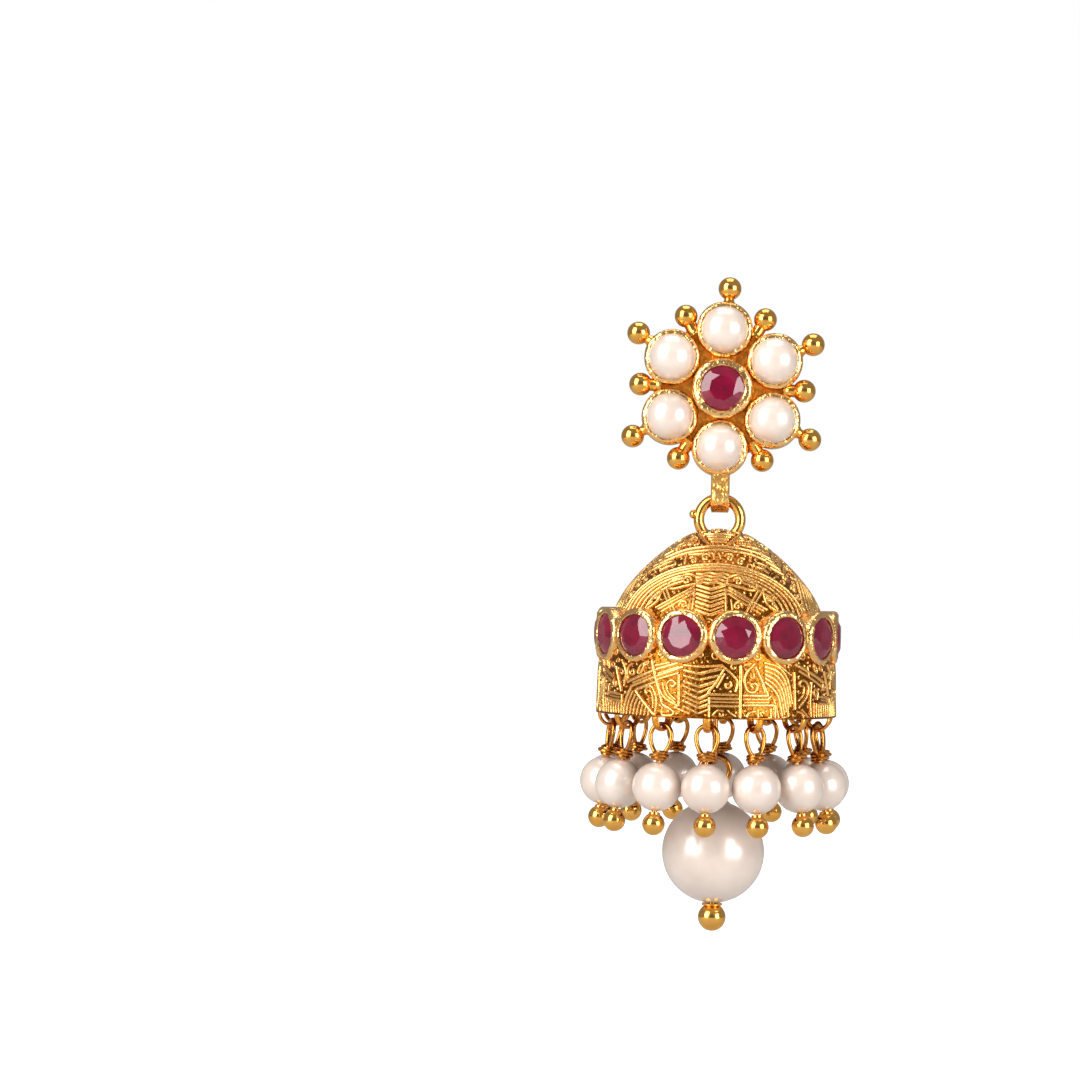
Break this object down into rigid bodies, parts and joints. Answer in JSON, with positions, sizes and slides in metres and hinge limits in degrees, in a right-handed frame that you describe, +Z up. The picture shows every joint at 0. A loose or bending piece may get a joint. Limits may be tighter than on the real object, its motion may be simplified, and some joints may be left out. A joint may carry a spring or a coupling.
{
  "type": "jhumka earring",
  "caption": "Drop earring: a flower of half pearls round a ruby, and a domed hollow bell with a ruby belt, pearl dangles round its rim and a large pearl hanging in its middle.",
  "frame": {"origin": "axis of the ear post at the rosette's rear face, where the earring is pinned on", "axes": "+Z up along the hanging earring, -Y out of the rosette's front, +Y along the ear post, +X to the right seen from the front"},
  "size_m": [0.0245, 0.0247, 0.06],
  "materials": {
    "gold": "polished gold plate",
    "antique_gold": "cast gold plate with darkened recesses",
    "wire_gold": "coppery gold wire",
    "pearl": "nacre with a soft lustre",
    "ruby": "faceted and polished"
  },
  "bodies": {
    "rosette_body": {"rosette": "gold", "ear_post": "gold", "rosette_ruby": "ruby", "rosette_pearl_1": "pearl", "rosette_pearl_2": "pearl", "rosette_pearl_3": "pearl", "rosette_pearl_4": "pearl", "rosette_pearl_5": "pearl", "rosette_pearl_6": "pearl"},
    "bell_body": {"bell": "antique_gold", "bell_ruby_01": "ruby", "bell_ruby_02": "ruby", "bell_ruby_03": "ruby", "bell_ruby_04": "ruby", "bell_ruby_05": "ruby", "bell_ruby_06": "ruby", "bell_ruby_07": "ruby", "bell_ruby_08": "ruby", "bell_ruby_09": "ruby", "bell_ruby_10": "ruby", "bell_ruby_11": "ruby", "bell_ruby_12": "ruby", "bell_ruby_13": "ruby", "bell_ruby_14": "ruby", "dangle_pin_01": "wire_gold", "dangle_pin_02": "wire_gold", "dangle_pin_03": "wire_gold", "dangle_pin_04": "wire_gold", "dangle_pin_05": "wire_gold", "dangle_pin_06": "wire_gold", "dangle_pin_07": "wire_gold", "dangle_pin_08": "wire_gold", "dangle_pin_09": "wire_gold", "dangle_pin_10": "wire_gold", "dangle_pin_11": "wire_gold", "dangle_pin_12": "wire_gold", "dangle_pin_13": "wire_gold", "dangle_pin_14": "wire_gold", "dangle_pearl_01": "pearl", "dangle_pearl_02": "pearl", "dangle_pearl_03": "pearl", "dangle_pearl_04": "pearl", "dangle_pearl_05": "pearl", "dangle_pearl_06": "pearl", "dangle_pearl_07": "pearl", "dangle_pearl_08": "pearl", "dangle_pearl_09": "pearl", "dangle_pearl_10": "pearl", "dangle_pearl_11": "pearl", "dangle_pearl_12": "pearl", "dangle_pearl_13": "pearl", "dangle_pearl_14": "pearl"},
    "drop_body": {"drop_link": "wire_gold", "drop_pin": "wire_gold", "drop_pearl": "pearl"}
  },
  "joints": [
    {"name": "bell_swing", "type": "hinge", "parent": "rosette_body", "child": "bell_body", "pos_m": [0, -0.00135, -0.01004], "axis": [1, 0, 0], "range_deg": [-75, 75]},
    {"name": "drop_swing", "type": "hinge", "parent": "bell_body", "child": "drop_body", "pos_m": [0, -0.00135, -0.01548], "axis": [1, 0, 0], "range_deg": [-10, 10]}
  ]
}
